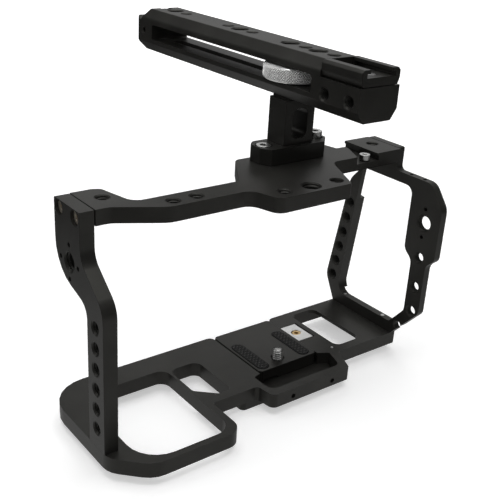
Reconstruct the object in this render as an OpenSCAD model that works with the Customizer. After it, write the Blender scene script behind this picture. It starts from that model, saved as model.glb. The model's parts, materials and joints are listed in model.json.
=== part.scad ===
// Camera cage with a sliding top handle.
// Millimetres. Origin on the underside of the foot, below the camera screw.
// +X runs towards the open side frame, +Y towards the back of the camera, +Z up.

/* [Cage] */
// Camera screw axis to the outer face of the side arm
left_reach = 128; // [118:1:150]
// Camera screw axis to the outer face of the side frame
right_reach = 85; // [80:1:105]
// Clear height between base plate and top plate
inner_h = 109.7; // [96:0.5:130]
// Thickness of the top plate
top_t = 8; // [6:0.5:12]

/* [Base plate] */
// Thickness of the base plate
base_t = 8.4; // [7.5:0.1:12]
// Camera screw axis to the back edge of the base plate
base_back = 40; // [36:1:50]
// Camera screw axis to the front edge at the side frame
front_r = 14; // [12:0.5:17]
// Camera screw axis to the front edge beside the grip loop
front_m = 18; // [16:0.5:22]
// Camera screw axis to the front of the stop lip
lip_front = 30.3; // [28:0.5:40]
// Wall of the stop lip
lip_wall = 5.5; // [3:0.5:8]
// Camera screw axis to the front of the grip loop
loop_front = 45.5; // [40:0.5:60]
// Width of the grip loop
loop_w = 69; // [64:1:76]
// Back corner radius of the grip loop
loop_r = 22; // [12:1:26]
// Cut across the front corner of the grip loop
loop_cut = 16.5; // [8:0.5:20]
// Rim of the grip opening on its outer side
rim_side = 13; // [9:0.5:18]
// Rim of the grip opening at its front
rim_front = 3.8; // [3:0.1:8]
// Rim of the grip opening at its back
rim_back = 15.8; // [10:0.2:20]
// Height of the foot below the base plate
foot_h = 4.5; // [2:0.5:8]
// Width of the foot
foot_w = 83; // [60:1:90]
// Left edge of the right window, from the camera screw axis
window_x = 40; // [38.5:0.5:46]
// Width of the right window
window_w = 19.3; // [10:0.1:26]
// Depth of the right window from back to front
window_d = 44; // [24:1:46]
// Web left above the relief beside the right window
web_t = 2.2; // [1.6:0.1:4]

/* [Quick plate] */
// Width of the quick plate at its top
qr_w = 42.6; // [38:0.2:46]
// Offset of the quick plate's middle from the camera screw axis
qr_off = 2.3; // [0:0.1:3]
// Front edge of the quick plate, from the camera screw axis
qr_front = 8.1; // [7:0.1:12]
// Amount that the quick plate stands above the base plate
qr_proud = 0.5; // [0.2:0.1:1.5]
// Width that each dovetail flank adds at the bottom
dovetail = 2; // [1:0.1:2.5]
// Floor under the quick plate
floor_t = 1.2; // [1:0.1:2]
// Gap between the quick plate and its channel
slide_gap = 0.35; // [0.1:0.05:0.4]
// Setback of the quick plate from the base plate's back edge
qr_back = 1.4; // [0.5:0.1:3]
// Width of a rubber strip
strip_w = 7.6; // [5:0.2:9]
// Length of a rubber strip
strip_l = 30.5; // [20:0.5:36]
// Amount that the strips stand above the quick plate
strip_proud = 0.7; // [0.3:0.1:1.5]
// Distance between the middles of the two strips
strip_gap = 30.6; // [22:0.2:34]
// Major diameter of the camera screw
cam_screw_d = 6.35; // [6:0.05:9.6]
// Length of camera screw above the quick plate
cam_screw_h = 5.4; // [4:0.1:6]

/* [Clamp] */
// Width of the clamp jaw, across the channel
jaw_w = 11.4; // [9:0.2:12]
// Length of the clamp jaw, along the channel
jaw_l = 17.8; // [12:0.2:24]
// Height of the clamp jaw
jaw_h = 6.2; // [4:0.1:6.5]
// Middle of the clamp jaw, behind the camera screw axis
jaw_y = 17.5; // [14:0.5:22]
// Travel of the clamp jaw when it lets go
jaw_travel = 0.8; // [0.4:0.1:1.2]
// Diameter of the brass clamp screw
jaw_screw_d = 5.6; // [4:0.1:6]

/* [Side arm] */
// Thickness of the side arm
arm_t = 7.5; // [6:0.5:10]
// Width of the arm's upper part
arm_top_w = 25.4; // [20:0.2:30]
// Width of the arm's lower part
arm_low_w = 15.2; // [12:0.2:19]
// Front face of the arm's upper part, from the camera screw axis
arm_top_y = 5.5; // [3:0.1:8]
// Front face of the arm's lower part, from the camera screw axis
arm_low_y = 26.2; // [22:0.1:30]
// Height where the arm's bend is centred, above the base plate
arm_bend_z = 82; // [76:0.5:86]
// Threaded hole size, quarter inch accessories
thread_d = 6.35; // [5:0.05:7]
// Threaded hole size, three eighths inch accessories
big_thread_d = 9.53; // [8:0.01:11]
// Number of holes up the arm
arm_holes = 6; // [3:1:6]
// Spacing of the holes up the arm
arm_pitch = 11; // [9:0.1:11.5]
// First hole above the base plate
arm_first = 11; // [8:0.1:14]
// Radius of the locating holes around a large hole
locate_r = 8.7; // [7.5:0.1:9.5]
// Diameter of a locating hole
locate_d = 2.4; // [1.5:0.1:3]

/* [Top plate] */
// Width of the bar
bar_w = 14.4; // [12:0.2:18]
// Front edge of the bar, from the camera screw axis
bar_y = 18.4; // [17:0.1:21]
// Front edge of the middle lobe, from the camera screw axis
lobe_front = 34.8; // [30:0.2:42]
// Back edge of the middle lobe, from the camera screw axis
lobe_back = 24.6; // [24:0.2:30]
// Width of the neck towards the side frame
neck_w = 18.6; // [14:0.2:22]
// Front edge of the neck, from the camera screw axis
neck_y = 3.5; // [2:0.1:5]
// Width of the end block against the side frame
block_w = 20; // [17:0.5:24]
// Depth of the end block
block_d = 27.8; // [24:0.2:30]
// Depth of the pocket in front of the end block
pocket_h = 4.3; // [3:0.1:5]
// Overhang of the end block's lip
lip_over = 1.2; // [0.5:0.1:2]
// Spacing of the three holes in the lobe
lobe_pitch = 17.4; // [14:0.2:20]

/* [Side frame] */
// Thickness of the side frame
frame_t = 4.7; // [3.5:0.1:7]
// Top of the frame's upper rail, below the top plate's surface
rail_drop = 13.7; // [12:0.1:18]
// Height of the frame's upper rail
rail_h = 6.2; // [5:0.1:9]
// Height of the frame's lower rail
low_rail_h = 7.3; // [5:0.1:10]
// Front of the frame's wide post, from the camera screw axis
wide_front = 39.2; // [36:0.2:48]
// Width of the frame's wide post
wide_w = 23.6; // [18:0.2:28]
// Front of the frame's narrow post, from the camera screw axis
narrow_front = 33.4; // [30:0.2:36]
// Width of the frame's narrow post
narrow_w = 11.4; // [9:0.2:14]
// Width of the slanted back post
back_w = 9.6; // [8:0.2:13]
// Amount that the back post leans outwards over its height
back_lean = 13; // [6:0.5:20]
// Number of holes in the back post
back_holes = 6; // [3:1:6]
// Spacing of the holes in the back post
back_pitch = 10.8; // [9:0.1:11.5]

/* [Handle post] */
// Middle of the post, to the right of the camera screw axis
post_x = 10; // [6:0.5:12]
// Middle of the post, behind the camera screw axis
post_y = 16; // [14:0.5:17]
// Width of the post column
post_w = 20.2; // [18:0.2:23]
// Depth of the post column
post_d = 14.4; // [12:0.2:17]
// Height from the top plate to the handle
post_h = 35; // [28:0.5:60]
// Thickness of the post's flange
flange_t = 9; // [7:0.5:12]
// Depth of the post's flange
flange_d = 18.4; // [17:0.1:20]
// Distance between the flange screws
flange_pitch = 36; // [35:0.5:38]
// Width of the window through the column
post_win_w = 10.4; // [6:0.2:12]
// Height of the window through the column
post_win_h = 16.2; // [10:0.2:18]
// Height of the raised seat under the handle
seat_h = 1.4; // [0.8:0.1:3]

/* [Handle] */
// Length of the handle
handle_l = 202.6; // [160:1:260]
// Width of the handle
handle_w = 26.4; // [24:0.2:32]
// Height of the handle
handle_h = 26; // [24:0.5:32]
// Front end of the handle, ahead of the post's middle
handle_nose = 62.6; // [58:0.5:80]
// Height of the side slot's floor above the handle's underside
slot_floor = 8; // [6:0.5:9]
// Height of the side slot
slot_h = 9.2; // [8.8:0.1:10]
// Front end of the side slot, ahead of the post's middle
slot_nose = 28; // [22:0.5:30]
// Solid length behind the side slot
slot_tail = 16.2; // [12:0.2:24]
// Width of the groove that the stud runs in
groove_w = 6.8; // [6.6:0.1:8]
// Length of the cold shoe block
shoe_l = 28.6; // [24:0.2:32]
// Height of the cold shoe block
shoe_h = 8.7; // [8:0.1:9.5]
// Width of the shoe's channel
shoe_slot_w = 18.7; // [18.6:0.05:20]
// Width between the shoe's lips
shoe_mouth_w = 14.5; // [12:0.1:15]
// Height of the shoe's channel
shoe_slot_h = 2.1; // [2:0.05:2.6]
// Thickness of the shoe's lips
shoe_lip_t = 1.9; // [1.5:0.1:3]

/* [Thumbwheel] */
// Diameter of the thumbwheel
wheel_d = 34.4; // [30:0.2:38]
// Thickness of the thumbwheel
wheel_t = 7.6; // [6:0.1:7.8]
// Thickness of the washer under the thumbwheel
washer_t = 0.6; // [0.4:0.1:0.8]
// Diameter of the stud
stud_d = 6; // [5:0.1:6]

/* [Hidden] */
$fn = 64;

// heights
base_z = foot_h;
deck_z = base_z + base_t;
top_under = deck_z + inner_h;
top_z = top_under + top_t;
seat_z = top_z + post_h;
handle_top = seat_z + handle_h;
// side positions
x_left = -left_reach;
x_right = right_reach;
arm_x = x_left + arm_t;
frame_x = x_right - frame_t;
// clearances
fit_gap = 0.04;
over = 1;
// grip loop and its openings
loop_right = x_left + loop_w;
inner_wall = 1.5;
divide_w = 3.9;
grip_x2 = loop_right - divide_w;
small_x1 = grip_x2 + inner_wall;
small_w = 19;
small_back = 21.5;
small_front = 5.6 - front_m;
grip_r = [17, 9.5, 6, 12];
// quick plate channel
qr_x1 = qr_off - qr_w / 2;
qr_x2 = qr_off + qr_w / 2;
qr_top = deck_z + qr_proud;
qr_floor = base_z + floor_t;
qr_l = base_back - qr_back + qr_front;
cam_head_d = 12;
cam_head_h = 2;
cam_head_z = 0.9;
corner_cut = 1.2;
notch_r = 3.5;
notch_d = 6;
channel_z = qr_floor - slide_gap / 2;
undercut = [9.8, 1.8, 1.4];
undercut_in = 3.2;
lip_hole_xs = [-12.5, 16.7];
lip_hole_z = 3.4;
window_y = base_back - 4;
strip_seat = 1.2;
strip_z = qr_top - strip_seat;
wide = 40;
rib_low = 1.6;
rib_high = 4.2;
jaw_gap = 0.2;
jaw_x1 = qr_x2 + jaw_gap;
jaw_x2 = jaw_x1 + jaw_w;
jaw_z = deck_z - jaw_h;
jaw_screw_x = jaw_x1 + jaw_w / 2;
jaw_shank_d = jaw_screw_d - 1.4;
// foot
foot_x = qr_off + 0.6 - foot_w / 2;
lip_x = -28.2;
tripod_x = 15;
tripod_y = 10;
stop_x = 36.2;
stop_y = -8;
stop_d = 1.9;
stop_l = 4;
// arm
arm_hole_y = arm_low_w / 2 - arm_low_y;
arm_big_y = arm_top_w / 2 - arm_top_y - 1.6;
arm_big_z = top_z - 28.2;
arm_screw_z = top_z - top_t / 2;
arm_screw_span = 15.5;
arm_mid_y = arm_top_w / 2 - arm_top_y;
arm_low_mid = arm_low_w / 2 - arm_low_y;
arm_foot_ys = [arm_low_mid - 4, arm_low_mid + 4];
locate_depth = 3;
// top plate
block_x = frame_x - block_w;
lobe_x1 = -36;
lobe_x2 = 10.5;
lobe_hole_y = 7.8 - lobe_front;
lobe_mid = -10.7;
bar_holes = [37.7, 50.8];
pocket_z = top_z - pocket_h;
neck_end = 44;
lock_d = 3.6;
lock_x = block_x - 6.2;
lock_y = 0.6;
// frame
frame_low = deck_z;
rail_top = top_z - rail_drop;
rail_in = rail_top - rail_h;
low_in = frame_low + low_rail_h;
post_hole_y = wide_w / 2 - wide_front;
narrow_hole_y = narrow_w / 2 - narrow_front;
narrow_top = deck_z + 50;
wide_low = deck_z + 59;
back_foot = 48.3;
back_top_z = rail_in - 10;
back_low_z = low_in + 9;
relief_low = 80;
relief_left = 3.6;
post_more = 2.6;
frame_screw_x = x_right - 2.6;
frame_foot_ys = [-4.1, 30.9];
frame_mid_y = block_d / 2 - neck_y;
frame_span = 15.5;
frame_big_z = arm_big_z - 10.4;
post_hole_drop = 22;
narrow_hole_zs = [46.3, 29.9];
foot_hole = [-18.4, 15.9, 5.05];
rail_hole_ys = [-11.5, -21.9];
rail_hole_d = 2.5;
// fasteners
m3_d = 3;
foot_d = 2.5;
foot_head = 4.2;
foot_head_h = 2.5;
foot_seat = 3;
foot_l = 12;
m4_d = 4;
m4_head = 7;
m4_head_h = 4;
m4_bore = 7.5;
m4_l = 12;
m5_d = 5;
m5_head = 8.5;
m5_head_h = 5;
m5_bore = 9.4;
hex4 = 3;
hex5 = 4;
// handle
handle_y1 = post_y - handle_nose;
handle_y2 = handle_y1 + handle_l;
floor_z = seat_z + slot_floor;
slot_y1 = post_y - slot_nose;
slot_y2 = handle_y2 - slot_tail;
shoe_z = handle_top - shoe_h;
shoe_y2 = handle_y1 + shoe_l;
wheel_z = floor_z + washer_t;
travel_back = slot_nose - wheel_d / 2 - 0.8;
end_bevel = 3.6;
low_bevel = 3;
top_holes = [[55.6, thread_d], [68, big_thread_d],
             [101.3, thread_d], [112.8, big_thread_d], [124, thread_d],
             [167.8, thread_d], [180.1, big_thread_d], [190.6, thread_d]];
nose_holes = [[33.7, thread_d], [45.6, big_thread_d]];
blind_depth = 9;
side_hole_ys = [7.2, 24.7];
side_hole_z = 9.4;
tail_hole = [6.3, 12.5, 3.2];
shoe_screw_ys = [8, 20];
shoe_joint = 0.4;
lip_z = handle_top - shoe_lip_t;
shoe_floor = lip_z - shoe_slot_h;
win_z = top_z + flange_t + 3.4;
stud_head_d = 8;
stud_z = win_z + post_win_h + 0.3;

black = [0.13, 0.13, 0.135];
silver = [0.8, 0.8, 0.82];
steel = [0.72, 0.72, 0.74];
brass = [0.78, 0.62, 0.3];
rubber = [0.1, 0.1, 0.1];

// an arc that rounds the corner b between a and c with radius r
function corner(a, b, c, r) =
    let (u = (a - b) / norm(a - b), v = (c - b) / norm(c - b),
         half = acos(max(-1, min(1, u * v))) / 2,
         reach = r / tan(half),
         m = b + (u + v) / norm(u + v) * r / sin(half),
         p = b + u * reach - m, q = b + v * reach - m,
         a0 = atan2(p.y, p.x), turn = atan2(p.x * q.y - p.y * q.x, p * q),
         n = max(2, ceil(abs(turn) / 15)))
    [for (i = [0:n]) m + r * [cos(a0 + turn * i / n), sin(a0 + turn * i / n)]];

// a polygon from points [x, y, r], each corner rounded by its own radius
function rounded(pts) =
    let (n = len(pts), xy = [for (p = pts) [p.x, p.y]])
    [for (i = [0:n - 1])
        each pts[i][2] > 0
            ? corner(xy[(i + n - 1) % n], xy[i], xy[(i + 1) % n], pts[i][2])
            : [xy[i]]];

module plate(pts, z, t) {
    translate([0, 0, z]) linear_extrude(t) polygon(rounded(pts));
}

// a rounded box opening, from (x1, y1) to (x2, y2)
module window(x1, y1, x2, y2, r, z, t) {
    plate([[x1, y1, r], [x2, y1, r], [x2, y2, r], [x1, y2, r]], z, t);
}

// an outline of (y, z) points carried along X
module side_sheet(pts, x, t) {
    translate([x, 0, 0]) rotate([90, 0, 90]) linear_extrude(t) polygon(rounded(pts));
}

// a hole along Z from z over length h, with a small countersink at its upper mouth
module hole_z(x, y, z, h, d) {
    sink = 0.6;
    translate([x, y, z - over]) cylinder(d = d, h = h + 2 * over);
    translate([x, y, z + h - sink]) cylinder(d1 = d, d2 = d + 2 * sink + 2 * over, h = sink + over);
}

// a through hole along X in a sheet from x to x + t, countersunk on both faces
module hole_x(y, z, x, t, d) {
    sink = 0.6;
    translate([x, y, z]) rotate([0, 90, 0]) {
        translate([0, 0, -over]) cylinder(d = d, h = t + 2 * over);
        translate([0, 0, t - sink]) cylinder(d1 = d, d2 = d + 2 * sink + 2 * over, h = sink + over);
        translate([0, 0, -over]) cylinder(d1 = d + 2 * sink + 2 * over, d2 = d, h = sink + over);
    }
}

// a socket head screw: head on top of z = 0, shank of length l below it
module cap_screw(d, head, head_h, l, key) {
    difference() {
        union() {
            translate([0, 0, -l]) cylinder(d = d, h = l + 0.1);
            cylinder(d = head, h = head_h);
        }
        translate([0, 0, head_h / 2]) cylinder(d = key / cos(30), h = head_h, $fn = 6);
    }
}

module base_outline() {
    plate([[x_left, base_back, loop_r], [x_left, loop_cut - loop_front, 12],
           [x_left + loop_cut, -loop_front, 15],
           [loop_right, -loop_front, 8], [loop_right, -front_m, 1.5],
           [lip_x - 0.5, -front_m, 2.5], [lip_x + 1.1, -lip_front, 4],
           [lip_x + 57.6, -lip_front, 2], [stop_x - 0.2, -front_r, 2], [x_right, -front_r, 1],
           [x_right, base_back, 1], [qr_x2 + slide_gap, base_back, notch_r],
           [qr_x2 + slide_gap, base_back - notch_d, 0], [qr_x1 - slide_gap, base_back - notch_d, 0],
           [qr_x1 - slide_gap, base_back, notch_r]], base_z, base_t);
}

module grip_opening() {
    x1 = x_left + rim_side;
    y1 = rim_front - loop_front;
    y2 = base_back - rim_back;
    plate([[x1, y1, grip_r[0]], [grip_x2, y1, grip_r[1]], [grip_x2, y2, grip_r[2]],
           [x1, y2, grip_r[3]]], base_z - over, base_t + 2 * over);
}

module small_opening() {
    x2 = small_x1 + small_w;
    plate([[small_x1, small_front + 10, 3], [small_x1 + 11, small_front, 2], [x2, small_front, 2.5],
           [x2, small_back, 5], [small_x1, small_back, 5]], base_z - over, base_t + 2 * over);
}

// the dovetail channel, open at the back and closed by the stop lip at the front
module channel(gap, y1, y2) {
    x1 = qr_x1 - gap;
    x2 = qr_x2 + gap;
    z0 = qr_floor - gap / 2;
    translate([0, y2, 0]) rotate([90, 0, 0]) linear_extrude(y2 - y1)
        polygon([[x1 - dovetail, z0], [x2 + dovetail, z0],
                 [x2 + dovetail, qr_floor + rib_low], [x2, qr_floor + rib_high],
                 [x2, qr_top + over], [x1, qr_top + over],
                 [x1, qr_floor + rib_high], [x1 - dovetail, qr_floor + rib_low]]);
}

// the space between the quick plate and the stop lip, as deep as the channel
module front_recess() {
    y1 = lip_wall - lip_front;
    left = lip_x + 3.6;
    plate([[qr_x1 + 3, 0.9 - qr_front, 0], [left, -1.6 - qr_front, 1.5], [left + 0.4, y1, 5],
           [qr_x2 + 2.8, y1, 4], [qr_x2 + 6.8, -3.9 - qr_front, 1.2], [qr_x2 - 3.6, 1.9 - qr_front, 0]],
          channel_z, base_t);
}

module base_plate() {
    pocket_gap = 0.4;
    color(black) difference() {
        union() {
            base_outline();
            plate([[foot_x, -front_m, 3], [lip_x + 58, -front_m, 2], [lip_x + 62, 1 - front_r, 2],
                   [foot_x + foot_w, 1 - front_r, 2], [foot_x + foot_w, base_back, 3],
                   [foot_x, base_back, 3]], 0, base_z + floor_t / 2);
        }
        grip_opening();
        small_opening();
        channel(slide_gap, -qr_front - slide_gap, base_back + over);
        front_recess();
        // right window with the relief under its outer web
        window(window_x, window_y - window_d, window_x + window_w, window_y, 4.5, -over, deck_z + 2 * over);
        window(window_x, window_y - window_d, frame_x - 6, window_y, 3, -over, deck_z - web_t + over);
        // clamp jaw pocket
        translate([qr_x2 - over, jaw_y - jaw_l / 2 - pocket_gap, jaw_z - pocket_gap])
            cube([jaw_x2 + jaw_travel + pocket_gap - qr_x2 + over, jaw_l + 2 * pocket_gap,
                  jaw_h + 2 * over]);
        translate([jaw_screw_x, jaw_y, -over]) cylinder(d = jaw_shank_d + 2 * fit_gap, h = jaw_z + over);
        // tripod threads under the foot
        for (s = [-1, 1])
            translate([qr_off + s * tripod_x, tripod_y, -over])
                cylinder(d = s < 0 ? thread_d : big_thread_d, h = qr_floor + over);
        // stop pin
        translate([stop_x, stop_y, deck_z - stop_l]) cylinder(d = stop_d, h = stop_l + over);
        // small threaded holes in the lip
        for (x = lip_hole_xs)
            translate([x, -lip_front - over, base_z + lip_hole_z]) rotate([-90, 0, 0])
                cylinder(d = m3_d, h = lip_wall + 2 * over);
        // screws up into the arm and the side frame
        for (y = arm_foot_ys) foot_screw_hole(arm_x - arm_t / 2, y);
        for (y = frame_foot_ys) foot_screw_hole(frame_screw_x, y);
    }
}

module foot_screw_hole(x, y) {
    translate([x, y, base_z - over]) cylinder(d = foot_d + 2 * fit_gap, h = base_t + 2 * over);
    translate([x, y, base_z - over]) cylinder(d = foot_head + 0.3, h = foot_seat + over);
}

module foot_screw(x, y, l) {
    translate([x, y, base_z + foot_seat]) rotate([180, 0, 0])
        cap_screw(foot_d, foot_head, foot_head_h, l, 2);
}

module quick_plate() {
    back = base_back - qr_back;
    color(black) difference() {
        intersection() {
            channel(0, -qr_front, back);
            translate([qr_x1 - 2 * dovetail, -qr_front - over, qr_floor])
                cube([qr_w + 4 * dovetail, qr_l + 2 * over, qr_top - qr_floor]);
        }
        // the four upright corners cut off
        for (s = [-1, 1])
            for (e = [-1, 1])
                translate([qr_off + s * qr_w / 2, e < 0 ? -qr_front : back, qr_floor - over])
                    rotate([0, 0, -e * (90 + s * 45)]) translate([-base_t, -base_t, 0])
                        cube([base_t + corner_cut, 2 * base_t, base_t + 2 * over]);
        // undercut slot at the front
        translate([qr_x1 + undercut_in, -qr_front - over, qr_floor - over])
                cube([undercut.x, undercut.y + over, undercut.z + over]);
        for (s = [-1, 1]) strip_shape(s, strip_z, base_t);
        hole_z(0, 0, qr_floor, qr_top - qr_floor, cam_screw_d + 2 * fit_gap);
        translate([0, 0, qr_floor - over])
            cylinder(d = cam_head_d + 1, h = cam_head_z + cam_head_h + 0.2 + over);
    }
}

// one rubber strip: a bar with round ends
module strip_shape(s, z, t) {
    y1 = -qr_front + 1.9;
    x = qr_off - 0.5 + s * strip_gap / 2;
    window(x - strip_w / 2, y1, x + strip_w / 2, y1 + strip_l, strip_w / 2 - 0.3, z, t);
}

module rubber_strips() {
    color(rubber) for (s = [-1, 1]) strip_shape(s, strip_z, strip_seat + strip_proud);
}

// head, plain part in the quick plate, thinner neck, then the threaded part
module camera_screw() {
    tip = 0.8;
    neck = 0.9;
    head_z = qr_floor + cam_head_z;
    thread_z = qr_top + 0.2;
    tip_z = qr_top + cam_screw_h - tip;
    color(silver) difference() {
        union() {
            translate([0, 0, head_z]) cylinder(d = cam_head_d, h = cam_head_h);
            translate([0, 0, head_z]) cylinder(d = cam_screw_d, h = qr_top - neck - head_z);
            translate([0, 0, head_z]) cylinder(d = cam_screw_d - 2 * tip, h = thread_z + tip - head_z);
            translate([0, 0, thread_z]) cylinder(d = cam_screw_d, h = tip_z - thread_z);
            translate([0, 0, tip_z]) cylinder(d1 = cam_screw_d, d2 = cam_screw_d - 2 * tip, h = tip);
        }
        translate([-cam_head_d / 2 - over, -tip, head_z - over])
            cube([cam_head_d + 2 * over, 2 * tip, over + 1]);
    }
}

// retaining ring below the camera screw's head, sprung into the quick plate
module camera_screw_ring() {
    color(steel) translate([0, 0, qr_floor + cam_head_z - 0.7]) difference() {
        cylinder(d = cam_head_d + 1, h = 0.6);
        translate([0, 0, -over]) cylinder(d = cam_head_d - 3, h = 3);
    }
}

module clamp_jaw() {
    color(silver) difference() {
        translate([0, jaw_y + jaw_l / 2, 0]) rotate([90, 0, 0]) linear_extrude(jaw_l)
            polygon([[jaw_x1 + dovetail, jaw_z], [jaw_x2, jaw_z], [jaw_x2, deck_z], [jaw_x1, deck_z],
                     [jaw_x1, qr_floor + rib_high], [jaw_x1 + dovetail, qr_floor + rib_low]]);
        // slot that lets the jaw move on its screw
        for (dx = [-jaw_travel, 0])
            translate([jaw_screw_x + dx, jaw_y, jaw_z - over])
                cylinder(d = jaw_screw_d + 2 * fit_gap, h = jaw_h + 2 * over);
        translate([jaw_screw_x - jaw_travel, jaw_y - jaw_screw_d / 2 - fit_gap, jaw_z - over])
            cube([jaw_travel, jaw_screw_d + 2 * fit_gap, jaw_h + 2 * over]);
    }
}

module clamp_screw() {
    color(brass) translate([jaw_screw_x, jaw_y, 0]) difference() {
        union() {
            translate([0, 0, jaw_z]) cylinder(d = jaw_screw_d, h = jaw_h - 0.4);
            translate([0, 0, 1]) cylinder(d = jaw_shank_d, h = jaw_z - 1);
        }
        translate([0, 0, deck_z - 3]) cylinder(d = 2.9, h = 4, $fn = 6);
    }
}

module stop_pin() {
    color(silver) translate([stop_x, stop_y, deck_z - stop_l]) {
        cylinder(d = stop_d, h = stop_l);
        translate([0, 0, stop_l]) cylinder(d1 = stop_d, d2 = stop_d - 0.8, h = 0.4);
    }
}

module side_arm() {
    top_f = -arm_top_y;
    top_b = arm_top_w - arm_top_y;
    low_f = -arm_low_y;
    low_b = arm_low_w - arm_low_y;
    bend = deck_z + arm_bend_z;
    color(black) difference() {
        side_sheet([[low_f, deck_z, 0], [low_b, deck_z, 0], [low_b, bend - 8.7, 8.5],
                    [top_b, bend, 20.6], [top_b, top_z, 1], [top_f, top_z, 0],
                    [top_f, bend + 12.4, 10.8], [low_f, bend - 4.3, 12.7]], x_left, arm_t);
        for (i = [0:arm_holes - 1])
            hole_x(arm_hole_y, deck_z + arm_first + i * arm_pitch, x_left, arm_t, thread_d);
        hole_x(arm_big_y, arm_big_z, x_left, arm_t, big_thread_d);
        for (a = [0:90:270])
            translate([x_left - over, arm_big_y + locate_r * cos(a), arm_big_z + locate_r * sin(a)])
                rotate([0, 90, 0]) cylinder(d = locate_d, h = locate_depth + over, $fn = 24);
        for (s = [-1, 1])
            translate([x_left, arm_mid_y + s * arm_screw_span / 2, arm_screw_z]) rotate([0, 90, 0]) {
                translate([0, 0, -over]) cylinder(d = m4_bore, h = m4_head_h + over + 0.2);
                cylinder(d = m4_d + 2 * fit_gap, h = arm_t + over);
            }
        for (y = arm_foot_ys)
            translate([arm_x - arm_t / 2, y, deck_z - over])
                cylinder(d = foot_d + 2 * fit_gap, h = foot_l - 4 + over);
    }
}

module arm_top_screws() {
    color(steel) for (s = [-1, 1])
        translate([x_left + m4_head_h + 0.2, arm_mid_y + s * arm_screw_span / 2, arm_screw_z])
            rotate([0, -90, 0]) cap_screw(m4_d, m4_head, m4_head_h, m4_l, hex4);
}

module arm_foot_screws() {
    color(steel) for (y = arm_foot_ys) foot_screw(arm_x - arm_t / 2, y, foot_l);
}

module top_outline() {
    bar_f = -bar_y;
    bar_b = bar_w - bar_y;
    plate([[arm_x, arm_top_w - arm_top_y, 0], [arm_x, -arm_top_y, 0],
           [arm_x + 8, -arm_top_y, 8], [arm_x + 32, bar_f, 14], [lobe_x1 - 6, bar_f, 7],
           [lobe_x1 - 1, -lobe_front, 6], [lobe_x2, -lobe_front, 2],
           [lobe_x2 + 13.5, -neck_y - 3, 5], [lobe_x2 + 17, -neck_y, 4], [frame_x, -neck_y, 0],
           [frame_x, block_d - neck_y, 0], [block_x, block_d - neck_y, 0.5],
           [block_x, neck_w - neck_y, 0], [45.5, neck_w - neck_y, 1],
           [43.5, lobe_back, 2], [lobe_x1 + 15.7, lobe_back, 5.5], [lobe_x1 - 3, bar_b, 2],
           [arm_x + 21, bar_b, 7], [arm_x + 16, arm_top_w - arm_top_y - 2, 2.5],
           [arm_x + 12, arm_top_w - arm_top_y, 4]], top_under, top_t);
}

module top_plate() {
    bar_hole_y = bar_w / 2 - bar_y - 0.6;
    color(black) difference() {
        top_outline();
        hole_z(arm_x + 11, arm_mid_y + 0.4, top_under, top_t, thread_d);
        for (x = bar_holes) hole_z(arm_x + x, bar_hole_y, top_under, top_t, thread_d);
        for (i = [-1:1])
            hole_z(lobe_mid + i * lobe_pitch, lobe_hole_y, top_under, top_t,
                   i == 0 ? big_thread_d : thread_d);
        hole_z(frame_x - 8.6, block_d / 2 - neck_y + 2, top_under, top_t, thread_d);
        // pocket between the neck and the end block
        plate([[neck_end, -neck_y - over, 0], [block_x + lip_over, -neck_y - over, 0],
               [block_x + lip_over, block_d, 0], [neck_end + 8, block_d, 0],
               [neck_end + 8, neck_w - neck_y - 3, 8]], pocket_z, pocket_h - 1.5);
        plate([[neck_end, -neck_y - over, 0], [block_x, -neck_y - over, 0], [block_x, block_d, 0],
               [neck_end + 8, block_d, 0], [neck_end + 8, neck_w - neck_y - 3, 8]],
              top_z - 1.6, 1.6 + over);
        translate([lock_x, lock_y, top_under - over]) cylinder(d = lock_d + 2 * fit_gap, h = top_t);
        for (s = [-1, 1]) {
            translate([arm_x - over, arm_mid_y + s * arm_screw_span / 2, arm_screw_z]) rotate([0, 90, 0])
                cylinder(d = m4_d + 2 * fit_gap, h = 9 + over);
            translate([frame_x + over, frame_mid_y + s * frame_span / 2, arm_screw_z]) rotate([0, -90, 0])
                cylinder(d = m4_d + 2 * fit_gap, h = 9 + over);
            translate([post_x + s * flange_pitch / 2, post_y, top_under - over])
                cylinder(d = m5_d + 2 * fit_gap, h = top_t + 2 * over);
        }
    }
}

// the side frame's outline as a sheet of thickness t
module frame_sheet(x, t) {
    y_f = -neck_y + 2;
    y_b = block_d - neck_y;
    side_sheet([[base_back - 0.4, frame_low, 0], [back_foot, back_low_z, 9],
                [back_foot - back_lean, back_top_z, 10], [y_b, rail_top - 4, 8], [y_b, top_z, 1],
                [y_f, top_z, 1], [y_f, rail_top, 3], [10 - wide_front, rail_top, 8],
                [-wide_front, rail_top - 13, 8], [-wide_front, wide_low, 5],
                [-narrow_front, narrow_top + 4, 6], [-narrow_front, low_in + 14.5, 5],
                [-front_r, frame_low, 0]], x, t);
}

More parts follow.
